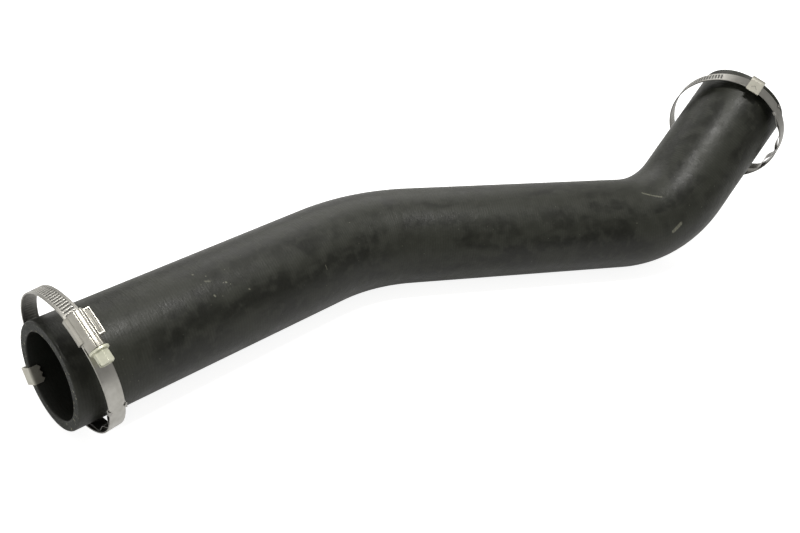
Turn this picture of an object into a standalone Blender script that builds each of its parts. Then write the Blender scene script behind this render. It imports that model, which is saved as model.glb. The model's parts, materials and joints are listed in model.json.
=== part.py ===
"""Charge air hose: a moulded rubber hose with an open worm drive clamp on each cut end.

Frame: +Z is up and +X runs along the near leg, away from its cut end. The part lies on a
floor at Z = 0, and the origin is below the middle of its box.
"""

from math import asin, atan2, cos, pi, radians, sin, sqrt

import bmesh
import bpy
import numpy as np
from mathutils import Matrix, Vector

MM = 0.001
CLEARANCE = 0.3 * MM

# Hose: straight legs joined by two bends. Each end is cut a little off square.
HOSE_OUTER_RADIUS = 31.0 * MM
HOSE_GROWTH = 0.9 * MM
HOSE_WALL = 6.0 * MM
NEAR_CUT_SLANT = radians(2.2)
FAR_CUT_SLANT = radians(-5)
NEAR_LEG = 183.5 * MM
MIDDLE_LEG = 162.0 * MM
FAR_LEG = 83.0 * MM
NEAR_BEND_RADIUS = 139.0 * MM
FAR_BEND_RADIUS = 72.0 * MM
MIDDLE_LEG_HEADING = radians(-27.5)
FAR_LEG_HEADING = radians(6.1)
FAR_LEG_RISE = radians(38.3)
HOSE_SIDES = 40
BEND_STEP = radians(5.5)
CUT_EDGE_ROUND = 0.6 * MM

# Clamp band: a strip wound into an open ring, with its two ends overlapping in the housing
BAND_WIDTH = 9.2 * MM
BAND_THICKNESS = 0.8 * MM
OPEN_SLACK = 10.5 * MM
RING_OUTER_RADIUS = HOSE_OUTER_RADIUS + OPEN_SLACK
FLAT_DEPTH = 0.6 * MM
FLAT_HALF_ANGLE = radians(32)
FIXED_END_ANGLE = radians(-13)
FREE_END_ANGLE = radians(369)
LIFT_START_ANGLE = radians(322)
LIFT_END_ANGLE = radians(343)
PLAIN_STEP = radians(4)

# Thread grooves rolled across the band's free end
GROOVE_START_ANGLE = radians(229)
GROOVE_PITCH = 2.2 * MM
GROOVE_DEPTH = 0.3 * MM
GROOVE_MARGIN = 1.5 * MM
GROOVE_SLANT = 0.55 * MM

# Housing: a folded sheet tunnel over the worm, on a shorter saddle that wraps the band
SHEET = 0.8 * MM
HOUSING_LENGTH = 21.0 * MM
SADDLE_LENGTH = 15.0 * MM
RIDGE_SPACING = 3.5 * MM
RIDGE_HEIGHT = 0.5 * MM
RIDGE_TOP = 0.4 * MM
LUG_REACH = 2.1 * MM
LUG_RISE = 1.5 * MM
LUG_RIM = 0.7 * MM
LUG_RECESS = 0.5 * MM

# Worm screw: thread, collar and hexagon head with a slot
WORM_CREST_RADIUS = 3.0 * MM
WORM_ROOT_RADIUS = 2.3 * MM
COLLAR_THICKNESS = 1.3 * MM
HEX_ACROSS_FLATS = 7.0 * MM
HEX_LENGTH = 7.0 * MM
SLOT_WIDTH = 1.2 * MM
SLOT_DEPTH = 2.0 * MM
WORM_SIDES = 12
THREAD_STEPS = 6
COLLAR_SIDES = 24
THREAD_FLAT = 0.15
THREAD_FLANK = 0.15

# Waved spring liner inside the band, hooked over the band's edges at both ends
LINER_THICKNESS = 0.35 * MM
LINER_INSET = 1.0 * MM
LINER_START_ANGLE = radians(63)
LINER_END_ANGLE = radians(164)
LINER_WAVES = 4
LINER_STEPS_PER_WAVE = 8
LINER_WAVE_DEPTH = 3.2 * MM
LINER_WAVE_FADE = 0.75
LINER_HOOK_LENGTH = 3.0 * MM
LINER_LIP = 1.6 * MM
LINER_LIP_ROOT = 0.3 * MM

# Mounting clip: plate over the band, leg across the cut end, barbed leg in the bore
CLIP_ANGLE = radians(196.5)
CLIP_WIDTH = 10.0 * MM
CLIP_SHEET = 0.6 * MM
CLIP_OVERHANG = 3.4 * MM
CLIP_BEND = 1.3 * MM
CLIP_BEND_POINTS = 5
CLIP_INNER_LEG = 6.0 * MM
BARB_DEPTH = 1.6 * MM
BARBS = 3

# How each open ring hangs on its end: the distance from the cut end to the band's edge,
# the place of closest approach, the gap there, how far the ring leans and swings, and the
# clip's place from there. Angles run clockwise as seen from outside the end, the touch
# from the top of the hose.
NEAR_RING = dict(setback=9.7 * MM, touch=radians(200.1), gap=2.2 * MM, lean=radians(2.8),
                 swing=radians(-3.7), clip=radians(26.5))
FAR_RING = dict(setback=1.2 * MM, touch=radians(-8.2), gap=0.4 * MM, lean=radians(-28.4),
                swing=radians(3.7), clip=radians(-7.3))

# How far either way the part may be rolled to find how it rests
ROLL_LIMIT = radians(15)
ROLL_HALVINGS = 40


def clear_scene():
    for item in list(bpy.data.objects):
        bpy.data.objects.remove(item, do_unlink=True)


def material(name, colour, roughness, metallic):
    """A Principled BSDF with one plain finish."""
    made = bpy.data.materials.new(name)
    made.use_nodes = True
    shader = made.node_tree.nodes["Principled BSDF"]
    shader.inputs["Base Color"].default_value = (*colour, 1.0)
    shader.inputs["Roughness"].default_value = roughness
    shader.inputs["Metallic"].default_value = metallic
    made.diffuse_color = (*colour, 1.0)
    return made


def unit(vector):
    vector = np.asarray(vector, float)
    return vector / np.linalg.norm(vector)


def turned(vector, axis, angle):
    """A vector turned about a unit axis by the right-hand rule."""
    return (vector * cos(angle) + np.cross(axis, vector) * sin(angle)
            + axis * (axis @ vector) * (1 - cos(angle)))


def smooth_step(x):
    x = np.clip(x, 0.0, 1.0)
    return x * x * (3 - 2 * x)


def add_object(name, points, faces, finish, parent=None, sharp=radians(35)):
    """One object from points and faces, its faces pointing out and its round sides smooth."""
    shape = bmesh.new()
    corners = [shape.verts.new(tuple(point)) for point in points]
    for face in faces:
        shape.faces.new([corners[index] for index in face])
    bmesh.ops.recalc_face_normals(shape, faces=shape.faces)
    mesh = bpy.data.meshes.new(name)
    shape.to_mesh(mesh)
    shape.free()
    mesh.materials.append(finish)
    mesh.shade_smooth()
    mesh.set_sharp_from_angle(angle=sharp)
    item = bpy.data.objects.new(name, mesh)
    bpy.context.collection.objects.link(item)
    item.parent = parent
    return item


def combine(target, tool, operation):
    """A Boolean of a hidden tool on the target."""
    tool.hide_render = True
    tool.display_type = "WIRE"
    step = target.modifiers.new(tool.name, "BOOLEAN")
    step.operation = operation
    step.object = tool
    step.solver = "EXACT"


def skin(sections):
    """Points and faces of a solid lofted through closed sections of equal count."""
    count, sides = sections.shape[:2]
    row = np.arange(sides)
    after = (row + 1) % sides
    faces = []
    for step in range(count - 1):
        low = step * sides
        high = low + sides
        faces += np.stack([low + row, low + after, high + after, high + row], axis=1).tolist()
    faces.append(row[::-1].tolist())
    faces.append(((count - 1) * sides + row).tolist())
    return sections.reshape(-1, 3), faces


def tube_skin(outer, inner):
    """Points and faces of an open-ended tube between two lofts of equal count."""
    count, sides = outer.shape[:2]
    row = np.arange(sides)
    after = (row + 1) % sides
    bore = count * sides
    last = (count - 1) * sides
    faces = []
    for step in range(count - 1):
        low = step * sides
        high = low + sides
        faces += np.stack([low + row, low + after, high + after, high + row], axis=1).tolist()
        faces += np.stack([bore + low + row, bore + high + row, bore + high + after,
                           bore + low + after], axis=1).tolist()
    faces += np.stack([row, bore + row, bore + after, after], axis=1).tolist()
    faces += np.stack([last + row, last + after, bore + last + after, bore + last + row],
                      axis=1).tolist()
    return np.concatenate([outer.reshape(-1, 3), inner.reshape(-1, 3)]), faces


def sheet_skin(middle, normals, thickness):
    """Points and faces of a sheet with a thickness, from a grid on its middle surface."""
    rows, columns = middle.shape[:2]
    top = middle + normals * thickness / 2
    bottom = middle - normals * thickness / 2
    index = np.arange(rows * columns).reshape(rows, columns)
    under = index + rows * columns
    quads = [np.stack([index[:-1, :-1], index[1:, :-1], index[1:, 1:], index[:-1, 1:]], axis=-1),
             np.stack([under[:-1, :-1], under[:-1, 1:], under[1:, 1:], under[1:, :-1]], axis=-1)]
    for edge, below in ((index[0], under[0]), (index[-1][::-1], under[-1][::-1]),
                        (index[:, -1], under[:, -1]), (index[::-1, 0], under[::-1, 0])):
        quads.append(np.stack([edge[:-1], edge[1:], below[1:], below[:-1]], axis=-1))
    faces = [face for block in quads for face in block.reshape(-1, 4).tolist()]
    return np.concatenate([top.reshape(-1, 3), bottom.reshape(-1, 3)]), faces


def heading(angle, rise=0.0):
    """A direction from its heading about +Z and its rise above the floor."""
    return np.array([cos(rise) * cos(angle), cos(rise) * sin(angle), sin(rise)])


def hose_centreline():
    """Points and unit tangents along the centreline, from the near cut end."""
    near = heading(0.0)
    middle = heading(MIDDLE_LEG_HEADING)
    far = heading(FAR_LEG_HEADING, FAR_LEG_RISE)
    points = [np.zeros(3), near * NEAR_LEG]
    tangents = [near, near]
    for start, end, radius, leg in ((near, middle, NEAR_BEND_RADIUS, MIDDLE_LEG),
                                    (middle, far, FAR_BEND_RADIUS, FAR_LEG)):
        axis = unit(np.cross(start, end))
        centre = points[-1] + radius * np.cross(axis, start)
        angle = atan2(np.linalg.norm(np.cross(start, end)), start @ end)
        steps = max(2, round(angle / BEND_STEP))
        spoke = points[-1] - centre
        for step in range(1, steps + 1):
            points.append(centre + turned(spoke, axis, angle * step / steps))
            tangents.append(turned(start, axis, angle * step / steps))
        points.append(points[-1] + end * leg)
        tangents.append(end)
    return np.array(points), np.array(tangents)


def cut_normal(outward, slant):
    """The direction that a cut faces: out along the hose, tipped up by the slant."""
    top = unit(np.array([0, 0, 1.0]) - outward[2] * outward)
    return cos(slant) * outward + sin(slant) * top


def round_sections(points, tangents, radii):
    """Circles across a centreline, kept from twisting from one to the next."""
    side = unit(np.cross(tangents[0], [0, 0, 1]))
    angles = np.arange(HOSE_SIDES) * 2 * pi / HOSE_SIDES
    sections = []
    for point, tangent, radius in zip(points, tangents, radii):
        side = unit(side - (side @ tangent) * tangent)
        up = np.cross(tangent, side)
        spokes = np.cos(angles)[:, None] * side + np.sin(angles)[:, None] * up
        sections.append(point + radius * spokes)
    return np.array(sections)


def build_hose(finish, parent):
    """The hose: a tube of even wall that grows slightly along its near leg, with its outer
    edges slightly rounded where it was cut."""
    points, tangents = hose_centreline()
    rounding = CUT_EDGE_ROUND
    first = -cut_normal(-tangents[0], NEAR_CUT_SLANT)
    last = cut_normal(tangents[-1], FAR_CUT_SLANT)
    points = np.concatenate([points[:1], points[:1] + tangents[:1] * rounding, points[1:-1],
                             points[-1:] - tangents[-1:] * rounding, points[-1:]])
    tangents = np.concatenate([[first, first], tangents[1:-1], [last, last]])
    outer = np.full(len(points), HOSE_OUTER_RADIUS + HOSE_GROWTH)
    outer[:2] = HOSE_OUTER_RADIUS
    inner = outer - HOSE_WALL
    outer[[0, -1]] -= rounding
    shell = tube_skin(round_sections(points, tangents, outer),
                      round_sections(points, tangents, inner))
    return add_object("hose", *shell, finish, parent)


class HoseEnd:
    """A cut end: its centre, its outward axis, its outer radius, the direction its cut
    faces, and its top and right seen from outside."""

    def __init__(self, centre, outward, radius, slant):
        self.centre = centre
        self.outward = outward
        self.radius = radius
        self.face = cut_normal(outward, slant)
        self.top = unit(np.array([0, 0, 1.0]) - outward[2] * outward)
        self.right = np.cross(self.top, self.outward)

    def spoke(self, angle):
        """The radial direction at an angle clockwise from the top."""
        return cos(angle) * self.top + sin(angle) * self.right

    def before_cut(self, spoke, distance, stand):
        """The point that stands before the cut, at a distance along a spoke."""
        offset = distance * spoke
        reach = (stand - offset @ self.face) / (self.outward @ self.face)
        return self.centre + offset + reach * self.outward


class Ring:
    """An open clamp ring on a hose end: its axis points out of the end, and its first
    direction points from its centre to the housing."""

    def __init__(self, end, setback, touch, gap, lean, swing, clip):
        spoke = end.spoke(touch)
        across = np.cross(end.outward, spoke)
        radial = turned(spoke, across, lean)
        self.axis = turned(turned(end.outward, across, lean), radial, swing)
        inner = RING_OUTER_RADIUS - BAND_THICKNESS
        touching = end.centre - setback * end.outward + (end.radius + gap) * spoke
        self.centre = touching - inner * radial - BAND_WIDTH / 2 * self.axis
        self.housing = turned(radial, self.axis, CLIP_ANGLE - clip)
        self.side = np.cross(self.axis, self.housing)

    def place(self, local):
        """World points from points of the ring's own frame."""
        return self.centre + np.asarray(local) @ np.stack([self.housing, self.side, self.axis])

    def matrix(self):
        frame = np.eye(4)
        frame[:3, 0] = self.housing
        frame[:3, 1] = self.side
        frame[:3, 2] = self.axis
        frame[:3, 3] = self.centre
        return Matrix(frame.tolist())


def band_inner_radius(angle):
    """The ring's inner radius at an angle clockwise from the housing: a circle with a
    raised-cosine dip at the housing, and a lift of one layer where the free end enters."""
    angle = np.asarray(angle, float)
    around = (angle + pi) % (2 * pi) - pi
    dip = np.cos(np.clip(around / FLAT_HALF_ANGLE, -1, 1) * pi / 2) ** 2
    lift = smooth_step((angle - LIFT_START_ANGLE) / (LIFT_END_ANGLE - LIFT_START_ANGLE))
    plain = RING_OUTER_RADIUS - BAND_THICKNESS
    return plain - FLAT_DEPTH * dip + (BAND_THICKNESS + CLEARANCE) * lift


def ring_point(angle, radius, across):
    """Points of the ring's frame from clockwise angle, radius and place across the band."""
    angle, radius, across = np.broadcast_arrays(angle, radius, across)
    return np.stack([radius * np.cos(angle), -radius * np.sin(angle), across], axis=-1)


def build_band(name, finish, parent):
    """The band: a strip swept round the ring. Past the first groove its outer face zigzags
    from ridge to valley, and each ridge slants like the worm's thread."""
    plain_steps = round((GROOVE_START_ANGLE - FIXED_END_ANGLE) / PLAIN_STEP)
    plain = np.linspace(FIXED_END_ANGLE, GROOVE_START_ANGLE, plain_steps + 1)
    half_pitch = GROOVE_PITCH / RING_OUTER_RADIUS / 2
    half_steps = int((FREE_END_ANGLE - GROOVE_START_ANGLE) / half_pitch) - 1
    count = np.arange(1, half_steps + 1)
    angles = np.concatenate([plain, GROOVE_START_ANGLE + half_pitch * count, [FREE_END_ANGLE]])
    threaded = np.concatenate([np.zeros(len(plain)), np.ones(half_steps), [0]])
    valley = np.concatenate([np.zeros(len(plain)), count % 2, [0]])
    inner = band_inner_radius(angles)
    half = BAND_WIDTH / 2
    groove_half = half - GROOVE_MARGIN

    def groove_line(side):
        slant = GROOVE_SLANT / RING_OUTER_RADIUS * side * threaded
        radius = inner + BAND_THICKNESS - GROOVE_DEPTH * valley
        return ring_point(angles + slant, radius, side * groove_half)

    outer = inner + BAND_THICKNESS
    lines = [ring_point(angles, inner, half), ring_point(angles, inner, -half),
             ring_point(angles, outer, -half), groove_line(-1), groove_line(1),
             ring_point(angles, outer, half)]
    return add_object(name, *skin(np.stack(lines, axis=1)), finish, parent)


def worm_axis_height():
    """The screw's axis above the ring's centre: clear of the band's upper layer."""
    upper_layer = float(band_inner_radius(2 * pi)) + BAND_THICKNESS
    return upper_layer + CLEARANCE + WORM_CREST_RADIUS


def collar_radius():
    """The collar's radius, which just clears the band that leaves the housing below it."""
    angle = asin((HOUSING_LENGTH / 2 + CLEARANCE) / RING_OUTER_RADIUS)
    band_top = (float(band_inner_radius(angle)) + BAND_THICKNESS) * cos(angle)
    return worm_axis_height() - band_top - CLEARANCE


def housing_outlines(x):
    """Outer and inner outlines across the housing, at a place along the screw.

    Each runs from the saddle's middle round the plain side, over the two ridges and down
    the lug side. The saddle follows the band's curve, and the tunnel stays straight. Past
    the saddle the walls stand nearer together, above the band."""
    axis = worm_axis_height()
    tunnel = WORM_CREST_RADIUS + CLEARANCE
    angle = atan2(x, float(band_inner_radius(0.0)))
    floor = float(band_inner_radius(angle)) * cos(angle) - CLEARANCE
    roof = axis + tunnel + SHEET
    shelf = axis - tunnel / 2
    on_saddle = x < SADDLE_LENGTH - HOUSING_LENGTH / 2
    slot = BAND_WIDTH / 2 + CLEARANCE if on_saddle else tunnel + SHEET / 2
    flank = slot + SHEET
    lug = flank + (LUG_REACH if on_saddle else 0.0)
    lug_top = shelf + (LUG_RISE if on_saddle else 0.0)
    wall = tunnel + SHEET
    shoulder = axis + tunnel / 3
    ridge = RIDGE_SPACING / 2
    outer = [(0.0, floor - SHEET), (slot, floor - SHEET), (slot + SHEET, floor),
             (flank, floor + SHEET), (flank, shelf - SHEET), (wall, shelf + SHEET),
             (wall, shoulder), (ridge + SHEET, roof), (ridge + RIDGE_TOP, roof + RIDGE_HEIGHT),
             (ridge - RIDGE_TOP, roof + RIDGE_HEIGHT), (ridge - SHEET, roof),
             (SHEET - ridge, roof), (RIDGE_TOP - ridge, roof + RIDGE_HEIGHT),
             (-ridge - RIDGE_TOP, roof + RIDGE_HEIGHT), (-ridge - SHEET, roof),
             (-wall, shoulder), (-wall, lug_top), (-lug, lug_top), (-lug, floor + SHEET),
             (-flank, floor), (-slot, floor - SHEET)]
    ledge = shelf - CLEARANCE
    arch = [(tunnel * cos(turn), axis + tunnel * sin(turn)) for turn in np.linspace(0, pi, 10)]
    corner = CLEARANCE / 2
    inner = [(0.0, floor), (slot - corner, floor), (slot, floor + corner),
             (slot, floor + SHEET), (slot, ledge - SHEET / 2), (tunnel, ledge), *arch,
             (-tunnel, ledge), (-slot, ledge - SHEET / 2), (-slot, floor + SHEET),
             (-slot, floor + corner), (-slot + corner, floor)]
    return outer, inner


def block(name, low, high, finish, parent):
    """A box between two corners of the ring's frame."""
    corners = np.array([low, high])
    loop = [(0, 0), (1, 0), (1, 1), (0, 1)]
    sections = np.array([[(corners[i, 0], corners[j, 1], corners[k, 2]) for i, j in loop]
                         for k in (0, 1)])
    return add_object(name, *skin(sections), finish, parent)


def build_housing(name, finish, parent):
    """The housing: outlines lofted along the screw, stepping in at the saddle's end. The
    walls past the saddle are cut off above the band, and the lug's top has a recess."""
    half = HOUSING_LENGTH / 2
    saddle_end = SADDLE_LENGTH - half
    places = [-half, -half / 2, 0.0, saddle_end - SHEET / 2, saddle_end,
              (saddle_end + half) / 2, half]
    pairs = [housing_outlines(x) for x in places]
    outer, inner = (np.array([[(height, -x, across) for across, height in pair[kind]]
                              for x, pair in zip(places, pairs)]) for kind in (0, 1))
    housing = add_object(name, *tube_skin(outer, inner), finish, parent)
    axis = worm_axis_height()
    tunnel = WORM_CREST_RADIUS + CLEARANCE
    side = BAND_WIDTH + LUG_REACH
    below = block(name + "_below", (0.0, -half - SHEET, -side),
                  (axis - tunnel + CLEARANCE, SHEET - saddle_end, side), finish, parent)
    combine(housing, below, "DIFFERENCE")
    lug = BAND_WIDTH / 2 + CLEARANCE + SHEET + LUG_REACH
    lug_top = axis - tunnel / 2 + LUG_RISE
    recess = block(name + "_recess",
                   (lug_top - LUG_RECESS, 2 * SHEET - saddle_end, LUG_RIM - lug),
                   (lug_top + SHEET, half - 2 * SHEET, -tunnel - SHEET - LUG_RIM),
                   finish, parent)
    combine(housing, recess, "DIFFERENCE")
    return housing


def thread_sections(start, end):
    """Sections of a single-start thread: at each height the radius follows the thread's
    profile, which turns once about the axis in each pitch."""
    steps = round((end - start) / GROOVE_PITCH * THREAD_STEPS)
    heights = np.linspace(start, end, steps + 1)
    turns = np.arange(WORM_SIDES) / WORM_SIDES
    phase = (turns[None, :] - heights[:, None] / GROOVE_PITCH) % 1.0
    flank = np.clip((np.abs(phase - 0.5) - THREAD_FLAT) / THREAD_FLANK, 0.0, 1.0)
    fade = np.clip(np.minimum(heights - start, end - heights) / GROOVE_PITCH, 0.0, 1.0)
    depth = (WORM_CREST_RADIUS - WORM_ROOT_RADIUS) * (1 - flank) * fade[:, None]
    radius = WORM_ROOT_RADIUS + depth
    angle = 2 * pi * turns[None, :]
    return np.stack([radius * np.cos(angle), radius * np.sin(angle),
                     np.broadcast_to(heights[:, None], radius.shape)], axis=-1)


def prism(name, radius, start, end, sides, finish, parent):
    """A right prism about the screw's axis, its first corner on +X."""
    angle = np.arange(sides) * 2 * pi / sides
    loop = np.stack([radius * np.cos(angle), radius * np.sin(angle)], axis=-1)
    sections = np.array([[(x, y, z) for x, y in loop] for z in (start, end)])
    return add_object(name, *skin(sections), finish, parent)


def build_screw(name, finish, parent):
    """The screw on its own axis: worm thread, collar, and a slotted hexagon head."""
    pivot = bpy.data.objects.new(name + "_axis", None)
    bpy.context.collection.objects.link(pivot)
    pivot.parent = parent
    lift = Matrix.Translation((worm_axis_height(), 0, 0))
    pivot.matrix_local = lift @ Matrix.Rotation(pi / 2, 4, "X")
    half = HOUSING_LENGTH / 2
    seat = half + CLEARANCE
    face = seat + COLLAR_THICKNESS
    tip = face + HEX_LENGTH
    screw = add_object(name, *skin(thread_sections(-half + SHEET, seat + COLLAR_THICKNESS / 2)),
                       finish, pivot)
    collar = prism(name + "_collar", collar_radius(), seat, face, COLLAR_SIDES, finish, pivot)
    corner = HEX_ACROSS_FLATS / sqrt(3)
    head = prism(name + "_hexagon", corner, face - COLLAR_THICKNESS / 2, tip, 6, finish, pivot)
    reach = 2 * corner
    loop = np.array([(-SLOT_WIDTH / 2, -reach), (SLOT_WIDTH / 2, -reach),
                     (SLOT_WIDTH / 2, reach), (-SLOT_WIDTH / 2, reach)])
    sections = np.array([[(x, y, z) for x, y in loop] for z in (tip - SLOT_DEPTH, tip + SHEET)])
    slot = add_object(name + "_slot", *skin(sections), finish, pivot)
    combine(screw, collar, "UNION")
    combine(screw, head, "UNION")
    combine(screw, slot, "DIFFERENCE")
    return screw


def hook_section(angle, reach):
    """A channel round the band: under its inner face, up both edges, and folded over it by
    the reach."""
    inner = RING_OUTER_RADIUS - BAND_THICKNESS - CLEARANCE
    outer = RING_OUTER_RADIUS + CLEARANCE
    half = BAND_WIDTH / 2 + CLEARANCE
    sheet = LINER_THICKNESS
    lip = half - reach
    outline = [(-lip, outer), (-half, outer), (-half, inner), (half, inner), (half, outer),
               (lip, outer), (lip, outer + sheet), (half + sheet, outer + sheet),
               (half + sheet, inner - sheet), (-half - sheet, inner - sheet),
               (-half - sheet, outer + sheet), (-lip, outer + sheet)]
    across, radius = np.array(outline).T
    return ring_point(angle, radius, across)


def build_liner(name, finish, parent):
    """The spring liner: a strip waved towards the hose, less deeply near the mounting clip.
    At its ends two channel-shaped hooks with pointed lips hold it on the band."""
    steps = LINER_WAVES * LINER_STEPS_PER_WAVE
    share = np.linspace(0.0, 1.0, steps + 1)
    hook = LINER_HOOK_LENGTH / RING_OUTER_RADIUS
    angle = LINER_START_ANGLE + (LINER_END_ANGLE - LINER_START_ANGLE) * share
    wave = (1 - np.cos(2 * pi * LINER_WAVES * share)) / 2
    radius = RING_OUTER_RADIUS - BAND_THICKNESS - CLEARANCE - LINER_THICKNESS / 2
    radius = radius - LINER_WAVE_DEPTH * (1 - LINER_WAVE_FADE * share) * wave
    edges = np.array([1.0, -1.0]) * (BAND_WIDTH / 2 - LINER_INSET)
    middle = ring_point(angle[:, None], radius[:, None], edges[None, :])
    along = np.gradient(middle, axis=0)
    normals = np.cross(along, np.array([0, 0, 1.0]))
    normals /= np.linalg.norm(normals, axis=-1, keepdims=True)
    liner = add_object(name, *sheet_skin(middle, normals, LINER_THICKNESS), finish, parent)
    for label, place in (("_first_hook", LINER_START_ANGLE), ("_last_hook", LINER_END_ANGLE)):
        sections = [hook_section(place - hook / 2, LINER_LIP_ROOT),
                    hook_section(place, LINER_LIP),
                    hook_section(place + hook / 2, LINER_LIP_ROOT)]
        tool = add_object(name + label, *skin(np.array(sections)), finish, parent)
        combine(liner, tool, "UNION")
    return liner


def rounded_path(corners, sides, bend):
    """A path through corner points with its bends rounded, and the width direction at each
    of its points."""
    points = [corners[0]]
    widths = [sides[0]]
    for before, corner, after, side_in, side_out in zip(corners, corners[1:], corners[2:],
                                                        sides[1:], sides[2:]):
        into = unit(corner - before)
        out = unit(after - corner)
        angle = atan2(np.linalg.norm(np.cross(into, out)), into @ out)
        reach = bend * np.tan(angle / 2)
        start = corner - into * reach
        end = corner + out * reach
        for share in np.linspace(0.0, 1.0, CLIP_BEND_POINTS):
            points.append((1 - share) ** 2 * start + 2 * share * (1 - share) * corner
                          + share ** 2 * end)
            widths.append(unit((1 - share) * side_in + share * side_out))
    points.append(corners[-1])
    widths.append(sides[-1])
    return np.array(points), np.array(widths)


def build_clip(name, end, ring, finish, parent):
    """The mounting clip: a plate over the band, a leg down across the hose's cut end, and a
    leg in the bore that ends in barbs."""
    sheet = CLIP_SHEET
    spoke_local = ring_point(CLIP_ANGLE, 1.0, 0.0)
    normal = ring.place(spoke_local) - ring.centre
    along_band = np.cross(normal, ring.axis)
    surface = ring.place(ring_point(CLIP_ANGLE, RING_OUTER_RADIUS, 0.0))
    plate = surface + (CLEARANCE + sheet / 2) * normal
    rear = plate - ring.axis * (BAND_WIDTH / 2 + CLIP_OVERHANG)
    front = plate + ring.axis * (BAND_WIDTH / 2 + CLEARANCE)

    offset = front - end.centre
    spoke = unit(offset - (offset @ end.outward) * end.outward)
    along_hose = np.cross(spoke, end.outward)
    stand = CLEARANCE + sheet / 2
    rim = max(offset @ spoke, end.radius + stand)
    bore = end.radius - HOSE_WALL
    leg = sqrt((bore - CLEARANCE) ** 2 - (CLIP_WIDTH / 2) ** 2) - sheet / 2
    inside = end.before_cut(spoke, leg, stand)
    corners = [rear, front, end.before_cut(spoke, rim, stand), inside,
               inside - end.outward * (CLIP_INNER_LEG - BARB_DEPTH)]
    sides = [along_band, along_band, along_hose, along_hose, along_hose]
    points, widths = rounded_path(corners, sides, CLIP_BEND)

    columns = np.linspace(-0.5, 0.5, 2 * BARBS + 1)
    tooth = np.abs(np.arange(2 * BARBS + 1) % 2)
    middle = points[:, None, :] + columns[None, :, None] * CLIP_WIDTH * widths[:, None, :]
    tips = middle[-1] - end.outward * BARB_DEPTH * (0.15 + 0.85 * tooth[:, None])
    middle = np.concatenate([middle, tips[None]])
    along = np.gradient(middle, axis=0)
    normals = np.cross(along, np.gradient(middle, axis=1))
    normals /= np.linalg.norm(normals, axis=-1, keepdims=True)
    return add_object(name, *sheet_skin(middle, normals, sheet), finish, parent)


def build_clamp(prefix, end, placing, finishes, parent):
    """One open clamp on a hose end, with the clip that holds it there."""
    ring = Ring(end, **placing)
    pose = bpy.data.objects.new(prefix + "_clamp_frame", None)
    bpy.context.collection.objects.link(pose)
    pose.parent = parent
    pose.matrix_local = ring.matrix()
    build_band(prefix + "_clamp_band", finishes["band"], pose)
    build_housing(prefix + "_clamp_housing", finishes["housing"], pose)
    build_screw(prefix + "_clamp_screw", finishes["screw"], pose)
    build_liner(prefix + "_spring_liner", finishes["spring"], pose)
    build_clip(prefix + "_mounting_clip", end, ring, finishes["clip"], parent)


def world_points(prefix=""):
    """The corners of the built solids whose names start with a prefix."""
    graph = bpy.context.evaluated_depsgraph_get()
    found = []
    for item in bpy.data.objects:
        if item.type == "MESH" and not item.hide_render and item.name.startswith(prefix):
            built = item.evaluated_get(graph)
            found += [built.matrix_world @ corner.co for corner in built.data.vertices]
    return np.array(found)


def turned_points(points, axis, angle):
    """Points turned about a unit axis through the origin."""
    return (points * cos(angle) + np.cross(axis, points) * sin(angle)
            + np.outer(points @ axis, axis) * (1 - cos(angle)))


def lay_down(rest):
    """Roll the part about its middle leg until the near clamp meets the floor that the leg
    lies on, then move the origin below the middle of the part's box."""
    leg_radius = HOSE_OUTER_RADIUS + HOSE_GROWTH
    axis = heading(MIDDLE_LEG_HEADING)
    points, tangents = hose_centreline()
    pivot = points[np.isclose(tangents @ axis, 1.0)][-1]
    clamp = world_points("near_") - pivot
    raised, sunk = -ROLL_LIMIT, ROLL_LIMIT
    for _ in range(ROLL_HALVINGS):
        roll = (raised + sunk) / 2
        if turned_points(clamp, axis, roll)[:, 2].min() < -leg_radius:
            sunk = roll
        else:
            raised = roll
    rolled = turned_points(world_points() - pivot, axis, raised)
    low, high = rolled.min(axis=0), rolled.max(axis=0)
    shift = Vector((-(low[0] + high[0]) / 2, -(low[1] + high[1]) / 2, -low[2]))
    turn = Matrix.Rotation(raised, 4, Vector(axis))
    rest.matrix_world = Matrix.Translation(shift) @ turn @ Matrix.Translation(-Vector(pivot))


def main():
    clear_scene()
    rubber = material("hose_rubber", (0.035, 0.037, 0.033), 0.62, 0.0)
    finishes = {
        "band": material("band_steel", (0.62, 0.61, 0.58), 0.32, 1.0),
        "housing": material("housing_steel", (0.66, 0.64, 0.59), 0.3, 1.0),
        "screw": material("screw_zinc", (0.72, 0.71, 0.6), 0.38, 1.0),
        "spring": material("liner_steel", (0.55, 0.54, 0.51), 0.3, 1.0),
        "clip": material("clip_steel", (0.6, 0.58, 0.53), 0.36, 1.0),
    }
    rest = bpy.data.objects.new("rest_frame", None)
    bpy.context.collection.objects.link(rest)
    build_hose(rubber, rest)
    points, tangents = hose_centreline()
    near_end = HoseEnd(points[0], -tangents[0], HOSE_OUTER_RADIUS, NEAR_CUT_SLANT)
    far_end = HoseEnd(points[-1], tangents[-1], HOSE_OUTER_RADIUS + HOSE_GROWTH, FAR_CUT_SLANT)
    build_clamp("near", near_end, NEAR_RING, finishes, rest)
    build_clamp("far", far_end, FAR_RING, finishes, rest)
    bpy.context.view_layer.update()
    lay_down(rest)
    bpy.context.view_layer.update()


main()
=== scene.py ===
"""The looks of a charge air hose with an open worm drive clamp hung on each cut end.

Each finished piece stands for the plain solid of its own name and lies where that lies. The
hose's frame has its origin at the near cut end, +X along the near leg and the middle leg in
its XY plane, and each clamp has a ring frame of its own. All lengths are in metres.
"""

import json
from math import asin, atan2, cos, pi, radians, sin, sqrt, tan

import bmesh
import bpy
import numpy as np
from mathutils import Matrix, Vector


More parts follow.
